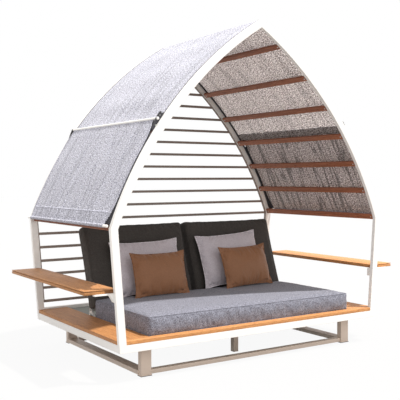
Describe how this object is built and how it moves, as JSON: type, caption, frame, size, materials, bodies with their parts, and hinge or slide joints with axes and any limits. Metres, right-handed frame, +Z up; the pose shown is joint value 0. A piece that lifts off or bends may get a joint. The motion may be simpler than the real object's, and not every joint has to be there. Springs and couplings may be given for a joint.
{
  "type": "outdoor daybed with canopy",
  "caption": "Outdoor daybed between two pointed arches, with a slatted back, a sliding fabric canopy, timber deck and shelves, a mattress, reclining backs and loose pillows.",
  "frame": {"origin": "on the floor, under the middle of the arches front to back and side to side", "axes": "+Z up, -Y out of the open front, +X to the right as seen from the front"},
  "size_m": [2.638, 1.376, 2.351],
  "materials": {
    "frame_white": "white powder coat on aluminium tube, satin",
    "frame_taupe": "taupe powder coat on aluminium tube, satin",
    "screen_grey_brown": "grey-brown powder coat on aluminium slats, satin",
    "track_black": "black moulded track, matt",
    "carriage_black": "black moulded nylon, matt",
    "rod_white": "white powder coat on round tube, satin",
    "teak": "oiled hardwood, fine straight grain",
    "platform_grey": "grey coated panel, matt",
    "board_white": "white painted board, satin",
    "canopy_cloth": "woven outdoor cloth, flecked grey",
    "mattress_cloth": "woven outdoor cloth, mid grey",
    "charcoal_cloth": "woven outdoor cloth, charcoal",
    "pale_cloth": "woven cloth, pale grey",
    "brown_cloth": "woven cloth, brown"
  },
  "bodies": {
    "bed": {"arch_front": "frame_white", "arch_rear": "frame_white", "rear_screen": "screen_grey_brown", "side_rail_left": "frame_white", "side_rail_right": "frame_white", "deck_board_left": "teak", "deck_board_right": "teak", "deck_board_front": "teak", "platform": "platform_grey", "underframe": "frame_taupe", "centre_support": "frame_taupe", "canopy_track_front": "track_black", "canopy_track_rear": "track_black", "batten_left_1": "teak", "batten_left_2": "teak", "batten_left_3": "teak", "batten_left_4": "teak", "batten_left_5": "teak", "batten_left_6": "teak", "batten_left_7": "teak", "batten_right_1": "teak", "batten_right_2": "teak", "batten_right_3": "teak", "batten_right_4": "teak", "batten_right_5": "teak", "batten_right_6": "teak", "batten_right_7": "teak", "canopy_roof": "canopy_cloth", "shelf_left": "teak", "shelf_right": "teak", "shelf_bracket_left_front": "frame_white", "shelf_bracket_left_rear": "frame_white", "shelf_bracket_right_front": "frame_white", "shelf_bracket_right_rear": "frame_white", "mattress": "mattress_cloth", "back_hinge_left_inner": "frame_white", "back_hinge_left_outer": "frame_white", "back_hinge_right_inner": "frame_white", "back_hinge_right_outer": "frame_white"},
    "back_left": {"back_cushion_left": "charcoal_cloth", "back_board_left": "board_white", "pillow_left_rear": "pale_cloth", "pillow_left_front": "brown_cloth"},
    "back_right": {"back_cushion_right": "charcoal_cloth", "back_board_right": "board_white", "pillow_right_rear": "pale_cloth", "pillow_right_front": "brown_cloth"},
    "prop_left": {"back_prop_left": "frame_white"},
    "prop_right": {"back_prop_right": "frame_white"},
    "canopy_left": {"side_panel_left": "canopy_cloth", "upper_rod_left": "rod_white", "lower_rod_left": "rod_white", "carriage_left_front": "carriage_black", "carriage_left_rear": "carriage_black"},
    "canopy_right": {"side_panel_right": "canopy_cloth", "upper_rod_right": "rod_white", "lower_rod_right": "rod_white", "carriage_right_front": "carriage_black", "carriage_right_rear": "carriage_black"}
  },
  "joints": [
    {"name": "back_left_recline", "type": "hinge", "parent": "bed", "child": "back_left", "pos_m": [-0.44, 0.279, 0.294], "axis": [-1, 0, 0], "range_deg": [0, 20]},
    {"name": "back_right_recline", "type": "hinge", "parent": "bed", "child": "back_right", "pos_m": [0.44, 0.279, 0.294], "axis": [-1, 0, 0], "range_deg": [0, 20]},
    {"name": "prop_left_turn", "type": "hinge", "parent": "back_left", "child": "prop_left", "pos_m": [-0.44, 0.37919, 0.5241], "axis": [-1, 0, 0], "range_deg": [-42, 0]},
    {"name": "prop_right_turn", "type": "hinge", "parent": "back_right", "child": "prop_right", "pos_m": [0.44, 0.37919, 0.5241], "axis": [-1, 0, 0], "range_deg": [-42, 0]},
    {"name": "canopy_left_slide", "type": "hinge", "parent": "bed", "child": "canopy_left", "pos_m": [1.38109, 0, 0.02514], "axis": [0, 1, 0], "range_deg": [0, 20]},
    {"name": "canopy_right_slide", "type": "hinge", "parent": "bed", "child": "canopy_right", "pos_m": [-1.38109, 0, 0.02514], "axis": [0, -1, 0], "range_deg": [0, 20]}
  ],
  "couplings": [
    {"joint": "prop_left_turn", "follows": "back_left_recline", "ratio": -2.0853},
    {"joint": "prop_right_turn", "follows": "back_right_recline", "ratio": -2.0853}
  ]
}
